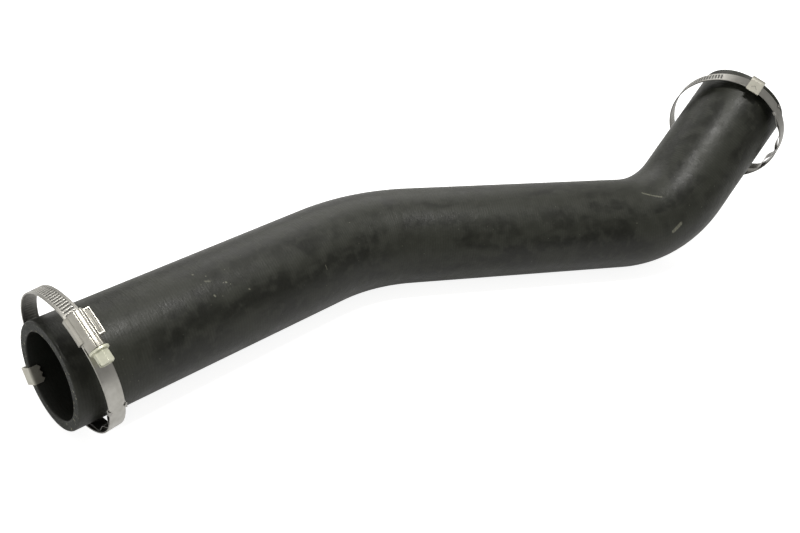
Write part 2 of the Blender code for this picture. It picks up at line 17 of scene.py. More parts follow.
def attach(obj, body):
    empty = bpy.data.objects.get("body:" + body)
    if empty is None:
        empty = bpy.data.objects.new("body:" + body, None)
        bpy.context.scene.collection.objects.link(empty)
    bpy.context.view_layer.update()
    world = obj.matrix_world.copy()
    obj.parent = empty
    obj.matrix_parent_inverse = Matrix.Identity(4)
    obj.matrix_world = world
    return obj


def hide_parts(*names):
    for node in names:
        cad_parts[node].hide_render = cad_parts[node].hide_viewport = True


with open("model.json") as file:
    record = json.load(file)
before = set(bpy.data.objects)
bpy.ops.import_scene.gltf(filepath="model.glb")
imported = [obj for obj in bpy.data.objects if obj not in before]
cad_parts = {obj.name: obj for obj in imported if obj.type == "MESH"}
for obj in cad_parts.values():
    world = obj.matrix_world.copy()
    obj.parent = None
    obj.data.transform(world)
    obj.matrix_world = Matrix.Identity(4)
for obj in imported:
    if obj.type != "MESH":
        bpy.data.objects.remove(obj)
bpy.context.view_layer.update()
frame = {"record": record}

MM = 0.001
CLEARANCE = 0.3 * MM

# Hose
HOSE_OUTER_RADIUS = 31.0 * MM
HOSE_GROWTH = 0.9 * MM
HOSE_WALL = 6.0 * MM
BORE_RADIUS = HOSE_OUTER_RADIUS - HOSE_WALL
WALL_MIDDLE = HOSE_OUTER_RADIUS - HOSE_WALL / 2
NEAR_CUT_SLANT = radians(2.2)
FAR_CUT_SLANT = radians(-5)
SLANT_FADE = 60.0 * MM
NEAR_LEG = 183.5 * MM
MIDDLE_LEG = 162.0 * MM
FAR_LEG = 83.0 * MM
NEAR_BEND_RADIUS = 139.0 * MM
FAR_BEND_RADIUS = 72.0 * MM
MIDDLE_LEG_HEADING = radians(-27.5)
FAR_LEG_HEADING = radians(6.1)
FAR_LEG_RISE = radians(38.3)
HOSE_SIDES = 128
HOSE_ROW_STEP = 1.25 * MM
BORE_ROW_STEP = 6.0 * MM
CUT_FACE_ROWS = 9
CUT_EDGE_ROUND = 0.8 * MM
CUT_EDGE_POINTS = 5

# The hose's surface: its colours, the pitch of the cloth's threads, and its marks
SKIN_DARK = (0.003, 0.0034, 0.0018)
SKIN_GREY = (0.0215, 0.0228, 0.017)
BLOT_GREY = (0.0275, 0.0288, 0.022)
CLOTH_GREY = (0.027, 0.0282, 0.0212)
THREAD_GREY = (0.04, 0.042, 0.035)
DUST = (0.2, 0.2, 0.155)
BORE_BLACK = (0.014, 0.015, 0.012)
FACE_DARK = (0.016, 0.0175, 0.0155)
FACE_GREY = (0.06, 0.064, 0.057)
PLY_FLECK = (0.36, 0.35, 0.26)
THREAD_PITCH = 1.8 * MM
PLY_RADIUS = HOSE_OUTER_RADIUS - 3.4 * MM
SPECKLED_PLACE = (12.5 * MM, -28.5 * MM, 93.0 * MM)
# Each mark's start and end as mm along the hose and degrees round it, width in mm, strength
MARKS = [((419.0, -77.5), (435.5, -64.0), 1.0, 0.8), ((441.0, -21.8), (435.0, -16.5), 2.4, 0.9),
         ((85.5, -85.5), (86.0, -85.0), 0.8, 0.7), ((89.0, -72.5), (91.5, -70.0), 1.0, 0.5),
         ((99.5, -62.5), (99.8, -62.0), 0.9, 1.0), ((89.5, -55.0), (89.8, -53.5), 0.8, 0.8),
         ((110.5, -46.5), (110.8, -46.0), 0.8, 1.0), ((164.0, -36.0), (164.4, -31.0), 0.5, 0.5)]

# Clamp band
BAND_WIDTH = 9.2 * MM
BAND_THICKNESS = 0.8 * MM
OPEN_SLACK = 10.5 * MM
RING_OUTER_RADIUS = HOSE_OUTER_RADIUS + OPEN_SLACK
RING_INNER_RADIUS = RING_OUTER_RADIUS - BAND_THICKNESS
FLAT_DEPTH = 0.6 * MM
FLAT_HALF_ANGLE = radians(32)
FIXED_END_ANGLE = radians(-13)
FREE_END_ANGLE = radians(369)
LIFT_START_ANGLE = radians(322)
LIFT_END_ANGLE = radians(343)
BAND_ROW_STEP = radians(0.25)
BAND_PLACES = 21
GROOVE_START_ANGLE = radians(229)
GROOVE_PITCH = 2.2 * MM
GROOVE_DEPTH = 0.34 * MM
GROOVE_HALF_LENGTH = 3.1 * MM
GROOVE_SLANT = 0.55 * MM
GROOVE_FADE = 0.5 * MM
# How much painted shade darkens the hollows of the band's grooves
GROOVE_PAINTED_SHADE = 0.9

# The thread of the band and of the worm, as shares of the pitch
THREAD_FLAT = 0.12
THREAD_FLANK = 0.2

# Housing
SHEET = 0.8 * MM
HOUSING_LENGTH = 21.0 * MM
SADDLE_LENGTH = 15.0 * MM
RIDGE_SPACING = 3.5 * MM
RIDGE_HEIGHT = 0.5 * MM
RIDGE_TOP = 0.4 * MM
LUG_REACH = 2.1 * MM
LUG_RISE = 1.5 * MM
LUG_RIM = 0.7 * MM
LUG_RECESS = 0.5 * MM
CORNER_POINTS = 4
SADDLE_ROWS = 12
END_INSETS = np.array([0.0, 0.06, 0.18, 0.34]) * MM
END_DRAWS = np.array([0.3, 0.14, 0.04, 0.0]) * MM
OUTSIDE_BEND = 0.45 * MM
INSIDE_BEND = 0.1 * MM
TAIL_BEND = 0.3 * MM
RIM_BEND = 0.5 * MM
RIM_PROFILE = ((0.0, -0.1), (0.0, 0.7), (0.2, 1.0), (0.8, 1.0), (1.0, 0.7), (1.0, -0.1))

# Worm screw
WORM_CREST_RADIUS = 3.0 * MM
WORM_ROOT_RADIUS = 2.3 * MM
TUNNEL = WORM_CREST_RADIUS + CLEARANCE
COLLAR_THICKNESS = 1.3 * MM
HEX_ACROSS_FLATS = 7.0 * MM
HEX_LENGTH = 7.0 * MM
SLOT_WIDTH = 1.2 * MM
SLOT_DEPTH = 2.0 * MM
HEX_CHAMFER_START = 0.94
HEX_CHAMFER = radians(30)
COLLAR_ROUND = 0.25 * MM
COLLAR_CORE = 0.4 * MM
TURNED_SIDES = 48
TURNS = np.arange(TURNED_SIDES) * 2 * pi / TURNED_SIDES
ROWS_PER_THREAD = 20

# Waved spring liner
LINER_THICKNESS = 0.35 * MM
LINER_WIDTH = BAND_WIDTH - 2.0 * MM
LINER_START_ANGLE = radians(63)
LINER_END_ANGLE = radians(164)
LINER_WAVES = 4
LINER_WAVE_DEPTH = 3.2 * MM
LINER_WAVE_FADE = 0.75
LINER_HOOK_LENGTH = 3.0 * MM
LINER_LIP = 1.6 * MM
LINER_LIP_ROOT = 0.3 * MM
LINER_STEPS_PER_WAVE = 24
HOOK_STEPS = 9
HOOK_BEND = 0.2 * MM

# Mounting clip
CLIP_ANGLE = radians(196.5)
CLIP_WIDTH = 10.0 * MM
CLIP_SHEET = 0.6 * MM
CLIP_OVERHANG = 3.4 * MM
CLIP_BEND = 1.3 * MM
CLIP_BEND_POINTS = 9
CLIP_INNER_LEG = 6.0 * MM
BARB_DEPTH = 1.6 * MM
BARBS = 3
BARB_VALLEY = 0.15

# How each open ring hangs on its end, as the part's source gives it
NEAR_RING = dict(setback=9.7 * MM, touch=radians(200.1), gap=2.2 * MM, lean=radians(2.8),
                 swing=radians(-3.7), clip=radians(26.5))
FAR_RING = dict(setback=1.2 * MM, touch=radians(-8.2), gap=0.4 * MM, lean=radians(-28.4),
                swing=radians(3.7), clip=radians(-7.3))

# How much painted shade darkens each clamp's band and clip as a whole, and how much more painted
# shade the clip gets past its plate and in the bore. The mark pressed in the plate is two lines.
CLAMP_PAINTED_SHADE = {"near": 0.0, "far": 0.32}
BEND_PAINTED_SHADE = {"near": 0.0, "far": 0.42}
BORE_PAINTED_SHADE = 0.6
PAINTED_SHADE_FADE = 2.0 * MM
PLATE_MARK_WIDTH = 0.7 * MM
PLATE_MARK = [((-1.9 * MM, 4.2 * MM), (0.1 * MM, 7.6 * MM)),
              ((0.1 * MM, 7.6 * MM), (2.0 * MM, 4.6 * MM))]

# The photograph's camera, in the hose's frame
CAMERA_PLACE = np.array([-137.8, -333.3, 363.7]) * MM
CAMERA_FORWARD = np.array([0.6062, 0.5026, -0.6163])
CAMERA_RIGHT = np.array([0.7146, -0.6844, 0.1447])
FOCAL_PIXELS = 915.9
IMAGE_WIDTH = 800
SENSOR_WIDTH = 36.0

# The studio's sky, lamps and floor
SKY_TINT = (1.0, 0.985, 0.95)
SKY_LEVEL = 0.14
SKY_BEHIND = 0.29
SKY_GLOSSY_GAIN = 0.2
LAMP_TINT = (1.0, 0.99, 0.96)
FLOOR_REACH = 6.0
FLOOR_WHITE = 0.87
FLOOR_GLOSSY_SHARE = 0.35


def unit(vector):
    """Vectors divided by their lengths."""
    vector = np.asarray(vector, float)
    return vector / np.linalg.norm(vector, axis=-1, keepdims=True)


def turned(vector, axis, angle):
    """A vector turned about a unit axis by the right-hand rule."""
    return (vector * cos(angle) + np.cross(axis, vector) * sin(angle)
            + axis * (axis @ vector) * (1 - cos(angle)))


def smooth_step(x):
    """0 below 0, 1 above 1, and 3x^2 - 2x^3 between."""
    x = np.clip(x, 0.0, 1.0)
    return x * x * (3 - 2 * x)


def heading(angle, rise=0.0):
    """A direction from its heading about +Z and its rise."""
    return np.array([cos(rise) * cos(angle), cos(rise) * sin(angle), sin(rise)])


def cut_normal(outward, slant):
    """The direction that a cut faces: out along the hose, tipped up by the slant."""
    top = unit(np.array([0, 0, 1.0]) - outward[2] * outward)
    return cos(slant) * outward + sin(slant) * top


class Placing:
    """Carries points of the hose's frame into the row frame: a roll about the middle leg's
    direction, read from the near cut face's axis, then a shift to that face's point."""

    def __init__(self, record):
        face = next(mount for mount in record["mounts"] if mount["name"] == "near_cut_face")
        roll_axis = heading(MIDDLE_LEG_HEADING)
        before = cut_normal(np.array([-1.0, 0.0, 0.0]), NEAR_CUT_SLANT)
        after = unit(face["axis"])
        start = unit(before - (before @ roll_axis) * roll_axis)
        end = unit(after - (after @ roll_axis) * roll_axis)
        roll = atan2(np.cross(start, end) @ roll_axis, start @ end)
        self.rows = np.stack([turned(side, roll_axis, roll) for side in np.eye(3)])
        known = WALL_MIDDLE * np.array([tan(NEAR_CUT_SLANT), 0, 1])
        self.shift = np.array(face["pos_m"]) - known @ self.rows

    def points(self, points):
        return np.asarray(points) @ self.rows + self.shift

    def directions(self, directions):
        return np.asarray(directions) @ self.rows


PLACING = Placing(frame["record"])


def grid_quads(rows, columns, closed_rows=False):
    """Quads over a grid of points numbered row by row, whose rows close on themselves. Closed
    rows also join the last row to the first."""
    index = np.arange(rows * columns).reshape(rows, columns)
    if closed_rows:
        index = np.concatenate([index, index[:1]])
    index = np.concatenate([index, index[:, :1]], axis=1)
    corners = [index[:-1, :-1], index[1:, :-1], index[1:, 1:], index[:-1, 1:]]
    return np.stack(corners, axis=-1).reshape(-1, 4).tolist()


def loft(sections):
    """Points and faces of a closed skin through closed sections, capped at both ends."""
    count, sides = sections.shape[:2]
    faces = grid_quads(count, sides)
    faces.append(list(range(sides)))
    faces.append(list(range((count - 1) * sides, count * sides)))
    return sections.reshape(-1, 3), faces


def closed_loft(sections):
    """Points and faces of a skin through closed sections, the last joined to the first."""
    return sections.reshape(-1, 3), grid_quads(*sections.shape[:2], closed_rows=True)


def slab(middle, normals, thickness):
    """Points and faces of a sheet: a grid on its middle surface moved half the thickness
    both ways along its normals, each row then closed round both faces."""
    top = middle + normals * thickness / 2
    bottom = middle - normals * thickness / 2
    sections = np.concatenate([top, bottom[:, ::-1]], axis=1)
    return loft(sections)


def linked(name, data):
    """A new object with its data, linked into the scene."""
    made = bpy.data.objects.new(name, data)
    bpy.context.collection.objects.link(made)
    return made


def piece(name, shape, finish, laid, slot_name, body="root", sharp=radians(35), bevel=None,
          **shares):
    """A finished piece in the row frame. Its laid attribute holds each point's place in the
    piece's own frame, which its material reads, as it does the named shares."""
    points, faces = shape
    mesh = bpy.data.meshes.new(name)
    mesh.from_pydata(np.asarray(points).tolist(), [], faces)
    attribute = mesh.attributes.new("laid", "FLOAT_VECTOR", "POINT")
    attribute.data.foreach_set("vector", np.asarray(laid, np.float32).reshape(-1))
    for share, values in shares.items():
        attribute = mesh.attributes.new(share, "FLOAT", "POINT")
        attribute.data.foreach_set("value", np.asarray(values, np.float32).reshape(-1))
    skin = bmesh.new()
    skin.from_mesh(mesh)
    bmesh.ops.recalc_face_normals(skin, faces=skin.faces)
    skin.to_mesh(mesh)
    skin.free()
    mesh.materials.append(finish)
    mesh.shade_smooth()
    mesh.set_sharp_from_angle(angle=sharp)
    made = linked(name, mesh)
    if bevel:
        edge = made.modifiers.new("edge", "BEVEL")
        edge.width = bevel
        edge.segments = 2
        edge.limit_method = "ANGLE"
        edge.angle_limit = sharp
        edge.harden_normals = True
    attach(made, body)
    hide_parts(name.removesuffix("_finished"))
    return made


class Wire:
    """An output of a material's node. Arithmetic on wires adds Math nodes."""

    def __init__(self, finish, socket):
        self.finish = finish
        self.socket = socket

    def __add__(self, other):
        return self.finish.maths("ADD", self, other)

    def __sub__(self, other):
        return self.finish.maths("SUBTRACT", self, other)

    def __rsub__(self, other):
        return self.finish.maths("SUBTRACT", other, self)

    def __mul__(self, other):
        return self.finish.maths("MULTIPLY", self, other)

    def __truediv__(self, other):
        return self.finish.maths("DIVIDE", self, other)

    __radd__ = __add__
    __rmul__ = __mul__


class Finish:
    """A material being built round one Principled BSDF, or a world round its background."""

    def __init__(self, name, made=None, shader="Principled BSDF"):
        self.material = made or bpy.data.materials.new(name)
        self.material.use_nodes = True
        self.nodes = self.material.node_tree.nodes
        self.links = self.material.node_tree.links
        self.shader = self.nodes[shader]

    def put(self, socket, value):
        """A wire is linked to the socket, and anything else becomes its value."""
        if isinstance(value, Wire):
            self.links.new(value.socket, socket)
        elif isinstance(value, (tuple, list)) and len(value) == 3 and socket.type == "RGBA":
            socket.default_value = (*value, 1.0)
        else:
            socket.default_value = value

    def node(self, kind, settings=None, sockets=None, output=0):
        """A node of a type, its settings made first, then its sockets' values or wires."""
        made = self.nodes.new("ShaderNode" + kind)
        for name, value in (settings or {}).items():
            setattr(made, name, value)
        for name, value in (sockets or {}).items():
            self.put(made.inputs[name], value)
        return Wire(self, made.outputs[output])

    def maths(self, operation, first, second=0.0):
        """A Math node."""
        return self.node("Math", {"operation": operation}, {0: first, 1: second})

    def mix(self, factor, first, second):
        """A blend of two colours."""
        return self.node("Mix", {"data_type": "RGBA"}, {0: factor, 6: first, 7: second}, 2)

    def step(self, value, low, high):
        """0 where a value is at or below low and 1 at or above high, smooth between."""
        return self.node("MapRange", {"interpolation_type": "SMOOTHSTEP"},
                         {"Value": value, "From Min": low, "From Max": high})

    def laid(self):
        """The piece's own frame, in metres."""
        return self.node("Attribute", {"attribute_name": "laid"}, output="Vector")

    def axes(self, vector):
        """A vector's x, y and z."""
        apart = self.node("SeparateXYZ", {}, {0: vector})
        return [Wire(self, socket) for socket in apart.socket.node.outputs]

    def scaled(self, vector, scale):
        """A vector times another, axis by axis."""
        return self.node("VectorMath", {"operation": "MULTIPLY"}, {0: vector, 1: scale})

    def noise(self, vector, scale, detail=2.0, roughness=0.5, distortion=0.0):
        """Noise between 0 and 1, with its grain 1 / scale metres wide."""
        return self.node("TexNoise", {}, {"Vector": vector, "Scale": scale, "Detail": detail,
                                          "Roughness": roughness, "Distortion": distortion})

    def stroke(self, u, v, start, end, width):
        """1 along a line of a width between two points of (u, v), with soft edges."""
        (u0, v0), (u1, v1) = start, end
        du, dv = u1 - u0, v1 - v0
        along = self.node("Clamp", {}, {0: ((u - u0) * du + (v - v0) * dv) / (du * du + dv * dv)})
        aside = self.maths("POWER", u - u0 - along * du, 2.0)
        away = self.maths("SQRT", aside + self.maths("POWER", v - v0 - along * dv, 2.0))
        return 1 - self.step(away, 0.3 * width, 0.7 * width)

    def boxed(self, vector, box, soft):
        """1 inside a box given by two corners, fading out over soft at its sides."""
        inside = 1.0
        for place, low, high in zip(self.axes(vector), *box):
            inside = (self.step(place, low - soft, low) * inside
                      * (1 - self.step(place, high, high + soft)))
        return inside

    def bump(self, height, distance, strength=1.0):
        """A height between 0 and 1 turned to a normal, distance metres high."""
        return self.node("Bump", {}, {"Height": height, "Distance": distance,
                                      "Strength": strength})

    def set(self, **values):
        """The shader's own sockets, named with _ for each space."""
        for name, value in values.items():
            self.put(self.shader.inputs[name.replace("_", " ")], value)
        return self.material


def rubber_finish():
    """Charcoal rubber with the print of the wrapping cloth: fine threads round the hose,
    cloudy along it, with pale specks and a few scuffs. The cut faces are greyer, mottled
    with the ends of the fabric plies, and the bore is darker."""
    finish = Finish("hose_rubber")
    laid = finish.laid()
    x, y, s = finish.axes(laid)
    radius = finish.maths("SQRT", x * x + y * y)
    arc = finish.maths("ARCTAN2", y, x) * HOSE_OUTER_RADIUS
    cut = finish.node("Attribute", {"attribute_name": "cut"}, output="Fac")

    cloud = finish.noise(finish.scaled(laid, (1.0, 1.0, 0.45)), 52.0, 3.0, 0.55, 0.4)
    blot = finish.noise(laid, 130.0, 2.0, 0.5)
    cloth = finish.noise(finish.scaled(laid, (1.0, 1.0, 3.2)), 420.0, 3.0, 0.6)
    grain = finish.noise(laid, 1900.0, 2.0, 0.6)
    thread = finish.maths("SINE", (s + blot * 1.6 * MM) * (2 * pi / THREAD_PITCH)) * 0.5 + 0.5
    thread = thread * finish.step(blot + cloud, 0.85, 1.15)
    away = finish.node("VectorMath", {"operation": "DISTANCE"}, {0: laid, 1: SPECKLED_PLACE},
                       "Value")
    near_specks = 1 - finish.step(away, 6 * MM, 24 * MM)
    specks = finish.step(finish.noise(laid, 760.0, 1.0, 0.4) + near_specks * 0.05, 0.79, 0.84)
    long_spots = finish.noise(finish.scaled(laid, (1.0, 1.0, 0.22)), 210.0, 2.0, 0.5, 1.2)
    scuffs = finish.step(long_spots, 0.76, 0.84)
    ragged = (grain - 0.5) * 1.2 * MM
    marks = 0
    for start, end, width, strength in MARKS:
        ends = [(along * MM, radians(turn) * HOSE_OUTER_RADIUS) for along, turn in (start, end)]
        marks = marks + finish.stroke(s + ragged, arc - ragged, *ends, width * MM) * strength

    skin = finish.mix(finish.step(cloud, 0.36, 0.64), SKIN_DARK, SKIN_GREY)
    skin = finish.mix(finish.step(blot, 0.45, 0.68) * 0.55, skin, BLOT_GREY)
    skin = finish.mix(cloth * 0.45, skin, CLOTH_GREY)
    skin = finish.mix(thread * 0.25, skin, THREAD_GREY)
    pale = finish.maths("MAXIMUM", specks * 0.6, scuffs * 0.25)
    skin = finish.mix(finish.maths("MAXIMUM", pale, marks * cloth * 1.4), skin, DUST)

    plies = finish.noise(laid, 900.0, 4.0, 0.7)
    mottle = finish.noise(laid, 330.0, 3.0, 0.65)
    face = finish.mix(finish.step(plies, 0.35, 0.7), FACE_DARK, FACE_GREY)
    off_ply = finish.step(finish.maths("ABSOLUTE", radius - PLY_RADIUS), 0.4 * MM, 1.9 * MM)
    flecks = finish.step(mottle + off_ply * 0.05, 0.61, 0.73)
    face = finish.mix(flecks * 0.75, face, PLY_FLECK)
    bore = 1 - finish.step(radius, BORE_RADIUS + HOSE_GROWTH, WALL_MIDDLE)
    colour = finish.mix(bore, skin, BORE_BLACK)
    colour = finish.mix(cut, colour, face)

    height = cloth * 0.5 + grain * 0.15 + thread * 0.12 + blot * 1.2 + cut * plies * 0.6
    roughness = 0.1 + cloth * 0.16 + cloud * 0.26 + blot * 0.26 + cut * 0.25
    return finish.set(Base_Color=colour, Roughness=roughness, Specular_IOR_Level=0.3,
                      Normal=finish.bump(height, 0.26 * MM, 0.8))


def steel_finish(name, colour, stain, rough, brush=(0.06, 1.0, 1.0), speck=0.0, shaded_panel=None,
                 bare=1.0, mark=None):
    """Rolled or stamped steel: fine streaks along the piece's first direction, soft stains,
    a few darker pits, and painted shade wherever the piece's dark attribute says. A shaded panel
    is a box of the piece's own frame, where painted shade darkens the sheet in stripes, and a mark
    is lines pressed in and darkened with painted shade. A plated piece is less bare."""
    finish = Finish(name)
    laid = finish.laid()
    dark = finish.node("Attribute", {"attribute_name": "dark"}, output="Fac")
    streak = finish.noise(finish.scaled(laid, brush), 2600.0, 3.0, 0.65)
    cloud = finish.noise(laid, 190.0, 3.0, 0.55)
    pits = finish.step(finish.noise(laid, 1500.0, 1.0, 0.4), 0.74, 0.8)
    shade = finish.mix(finish.step(cloud, 0.35, 0.72), colour, stain)
    shade = finish.mix(streak * 0.35, shade, tuple(0.72 * part for part in colour))
    shade = finish.mix(pits * speck, shade, tuple(0.35 * part for part in colour))
    if shaded_panel:
        stripe = finish.noise(finish.scaled(laid, (0.04, 1.0, 0.0)), 1100.0, 2.0, 0.6)
        inside = finish.boxed(laid, shaded_panel, 0.15 * MM)
        dark = finish.maths("MAXIMUM", dark, inside * (finish.step(stripe, 0.3, 0.7) * 0.4 + 0.5))
    # Painted shade: the dark attribute and the shaded panel darken the colour
    shade = finish.mix(dark, shade, tuple(0.12 * part for part in colour))
    height = streak + cloud * 0.6
    if mark:
        across, along, _ = finish.axes(laid)
        pressed = sum(finish.stroke(across, along, *line, PLATE_MARK_WIDTH) for line in mark)
        # Painted shade in the pressed lines: they are darkened as well as bumped
        shade = finish.mix(pressed * 0.55, shade, tuple(0.2 * part for part in colour))
        height = height - pressed * 4.0
    roughness = rough + streak * 0.16 + cloud * 0.08
    return finish.set(Base_Color=shade, Metallic=bare, Roughness=roughness,
                      Normal=finish.bump(height, 0.03 * MM, 0.6))


RUBBER = rubber_finish()
BAND_STEEL = steel_finish("band_steel", (0.48, 0.47, 0.44), (0.4, 0.39, 0.36), 0.24)
SCREW_ZINC = steel_finish("screw_zinc", (0.78, 0.78, 0.64), (0.66, 0.67, 0.53), 0.34,
                          (1.0, 1.0, 0.5), 0.3, bare=0.6)
LINER_STEEL = steel_finish("liner_steel", (0.4, 0.39, 0.37), (0.32, 0.31, 0.29), 0.22)
CLIP_STEEL = steel_finish("clip_steel", (0.7, 0.68, 0.59), (0.6, 0.58, 0.5), 0.34,
                          (1.0, 0.2, 1.0), 0.2, bare=0.4, mark=PLATE_MARK)


def centreline(s):
    """Points and tangents of the hose's centreline at arc lengths s. It is three straight
    legs joined by two circular arcs: p + t sin(kd) / k + n (1 - cos(kd)) / k along a run of
    curvature k, at a distance d past its start p."""
    near, middle = heading(0.0), heading(MIDDLE_LEG_HEADING)
    far = heading(FAR_LEG_HEADING, FAR_LEG_RISE)
    runs = [(near, near, NEAR_LEG), (near, middle, NEAR_BEND_RADIUS), (middle, middle, MIDDLE_LEG),
            (middle, far, FAR_BEND_RADIUS), (far, far, FAR_LEG)]
    s = np.asarray(s, float)
    points = np.zeros((len(s), 3))
    tangents = np.tile(near, (len(s), 1))
    start, place = 0.0, np.zeros(3)
    for before, after, size in runs:
        angle = atan2(np.linalg.norm(np.cross(before, after)), before @ after)
        length = size * angle if angle else size
        bend = angle / length
        inward = unit(after - (after @ before) * before) if angle else np.zeros(3)
        d = np.append(s - start, length)
        along = np.sin(bend * d) / bend if angle else d
        aside = (1 - np.cos(bend * d)) / bend if angle else np.zeros_like(d)
        on_run = place + along[:, None] * before + aside[:, None] * inward
        turn = np.cos(bend * d)[:, None] * before + np.sin(bend * d)[:, None] * inward
        reached = (s >= start)[:, None]
        points = np.where(reached, on_run[:-1], points)
        tangents = np.where(reached, turn[:-1], tangents)
        start, place = start + length, on_run[-1]
    return points, tangents, start


HOSE_LENGTH = centreline([0.0])[2]


def hose_rings():
    """Arc length, radius and share of cut face of every ring of the hose's skin: along the
    outside, round the far edge, over the cut face, back through the bore and out again. The
    edges are quarter circles. The radius grows evenly along the near leg."""
    turn = np.linspace(0, pi / 2, CUT_EDGE_POINTS)
    edge_s = CUT_EDGE_ROUND * (1 - np.sin(turn))
    edge_r = CUT_EDGE_ROUND * (1 - np.cos(turn))
    outer = np.linspace(CUT_EDGE_ROUND, HOSE_LENGTH - CUT_EDGE_ROUND,
                        round(HOSE_LENGTH / HOSE_ROW_STEP))[1:-1]
    face = np.linspace(HOSE_OUTER_RADIUS - CUT_EDGE_ROUND, BORE_RADIUS + CUT_EDGE_ROUND,
                       CUT_FACE_ROWS)[1:-1]
    bore = np.linspace(CUT_EDGE_ROUND, HOSE_LENGTH - CUT_EDGE_ROUND,
                       round(HOSE_LENGTH / BORE_ROW_STEP))[1:-1]
    far = np.concatenate([HOSE_LENGTH - edge_s, np.full(len(face), HOSE_LENGTH),
                          (HOSE_LENGTH - edge_s)[::-1]])
    across = np.concatenate([HOSE_OUTER_RADIUS - edge_r, face, (BORE_RADIUS + edge_r)[::-1]])
    on_face = smooth_step(np.concatenate([turn, np.full(len(face), pi / 2), turn[::-1]])
                          / (pi / 2) * 2 - 1)
    s = np.concatenate([outer, far, bore[::-1], (HOSE_LENGTH - far)[::-1]])
    radius = np.concatenate([np.full(len(outer), HOSE_OUTER_RADIUS), across,
                             np.full(len(bore), BORE_RADIUS), across[::-1]])
    radius = radius + HOSE_GROWTH * np.clip(s / NEAR_LEG, 0.0, 1.0)
    cut = np.concatenate([np.zeros(len(outer)), on_face, np.zeros(len(bore)), on_face[::-1]])
    return s, radius, cut


def hose_sides(tangents, first):
    """A side direction at each ring, carried along without twist: each is the one before
    less its part along the new tangent."""
    sides = np.empty_like(tangents)
    side = first
    for index, tangent in enumerate(tangents):
        side = unit(side - (side @ tangent) * tangent)
        sides[index] = side
    return sides


def cut_shear(end, spokes, radius, distance):
    """How far each point moves out along the hose to lie on a slanted cut: the distance to
    the cut's plane along the leg, fading out away from the end."""
    fade = 1 - smooth_step(distance / SLANT_FADE)
    reach = -(spokes @ end.face) / (end.outward @ end.face)
    return (reach * (radius * fade)[:, None])[..., None] * end.outward


def build_hose(near_end, far_end):
    """The hose: rings p(s) + r (cos a side + sin a up) round the centreline."""
    s, radius, cut = hose_rings()
    order = np.argsort(s, kind="stable")
    points, tangents, _ = centreline(s)
    sides = np.empty_like(tangents)
    sides[order] = hose_sides(tangents[order], unit(np.cross(tangents[order][0], [0, 0, 1])))
    ups = np.cross(tangents, sides)
    angle = np.arange(HOSE_SIDES) * 2 * pi / HOSE_SIDES
    spokes = (np.cos(angle)[None, :, None] * sides[:, None, :]
              + np.sin(angle)[None, :, None] * ups[:, None, :])
    skin = (points[:, None, :] + radius[:, None, None] * spokes
            + cut_shear(near_end, spokes, radius, s)
            + cut_shear(far_end, spokes, radius, HOSE_LENGTH - s))
    laid = np.stack([radius[:, None] * np.cos(angle), radius[:, None] * np.sin(angle),
                     np.broadcast_to(s[:, None], (len(s), HOSE_SIDES))], axis=-1)
    points, faces = closed_loft(skin)
    piece("hose_finished", (PLACING.points(points), faces), RUBBER, laid, "hose_rubber",
          cut=np.repeat(cut, HOSE_SIDES))


class HoseEnd:
    """A cut end: its centre, its outward axis, its outer radius, the direction its cut
    faces, and its top and right seen from outside."""

    def __init__(self, centre, outward, radius, slant):
        self.centre = centre
        self.outward = outward
        self.radius = radius
        self.face = cut_normal(outward, slant)
        self.top = unit(np.array([0, 0, 1.0]) - outward[2] * outward)
        self.right = np.cross(self.top, self.outward)

    def spoke(self, angle):
        """The radial direction at an angle clockwise from the top."""
        return cos(angle) * self.top + sin(angle) * self.right

    def before_cut(self, spoke, distance, stand):
        """The point that stands before the cut, at a distance along a spoke."""
        offset = distance * spoke
        reach = (stand - offset @ self.face) / (self.outward @ self.face)
        return self.centre + offset + reach * self.outward


class Ring:
    """An open clamp ring on a hose end: its axis points out of the end, and its first
    direction points from its centre to the housing."""

    def __init__(self, end, setback, touch, gap, lean, swing, clip):
        spoke = end.spoke(touch)
        across = np.cross(end.outward, spoke)
        radial = turned(spoke, across, lean)
        self.axis = turned(turned(end.outward, across, lean), radial, swing)
        touching = end.centre - setback * end.outward + (end.radius + gap) * spoke
        self.centre = touching - RING_INNER_RADIUS * radial - BAND_WIDTH / 2 * self.axis
        self.housing = turned(radial, self.axis, CLIP_ANGLE - clip)
        self.side = np.cross(self.axis, self.housing)

    def place(self, local):
        """Points of the hose's frame from points of the ring's."""
        return self.centre + np.asarray(local) @ np.stack([self.housing, self.side, self.axis])

    def row(self, local):
        """Points of the row frame from points of the ring's."""
        return PLACING.points(self.place(local))


def band_inner_radius(angle):
    """The ring's inner radius at an angle clockwise from the housing: a circle with a
    raised-cosine dip at the housing, and a lift of one layer where the free end enters."""
    angle = np.asarray(angle, float)
    around = (angle + pi) % (2 * pi) - pi
    dip = np.cos(np.clip(around / FLAT_HALF_ANGLE, -1, 1) * pi / 2) ** 2
    lift = smooth_step((angle - LIFT_START_ANGLE) / (LIFT_END_ANGLE - LIFT_START_ANGLE))
    return RING_INNER_RADIUS - FLAT_DEPTH * dip + (BAND_THICKNESS + CLEARANCE) * lift


def ring_point(angle, radius, across):
    """Points of the ring's frame from clockwise angle, radius and place across the band."""
    angle, radius, across = np.broadcast_arrays(angle, radius, across)
    return np.stack([radius * np.cos(angle), -radius * np.sin(angle), across], axis=-1)


def thread_shape(turns):
    """1 at the middle of each turn of a thread, with a flank each side of a narrow flat."""
    return 1 - smooth_step((np.abs(turns % 1.0 - 0.5) - THREAD_FLAT) / THREAD_FLANK)


def groove(angle, across):
    """How deep the band's thread grooves are: slanted across the band and fading out at the
    groove's ends."""
    slant = GROOVE_SLANT * across / GROOVE_HALF_LENGTH
    turn = angle - GROOVE_START_ANGLE - slant / RING_OUTER_RADIUS
    valley = thread_shape(turn * RING_OUTER_RADIUS / GROOVE_PITCH)
    ends = 1 - smooth_step((np.abs(across) - GROOVE_HALF_LENGTH + GROOVE_FADE) / GROOVE_FADE)
    return GROOVE_DEPTH * valley * ends * (turn > 0)


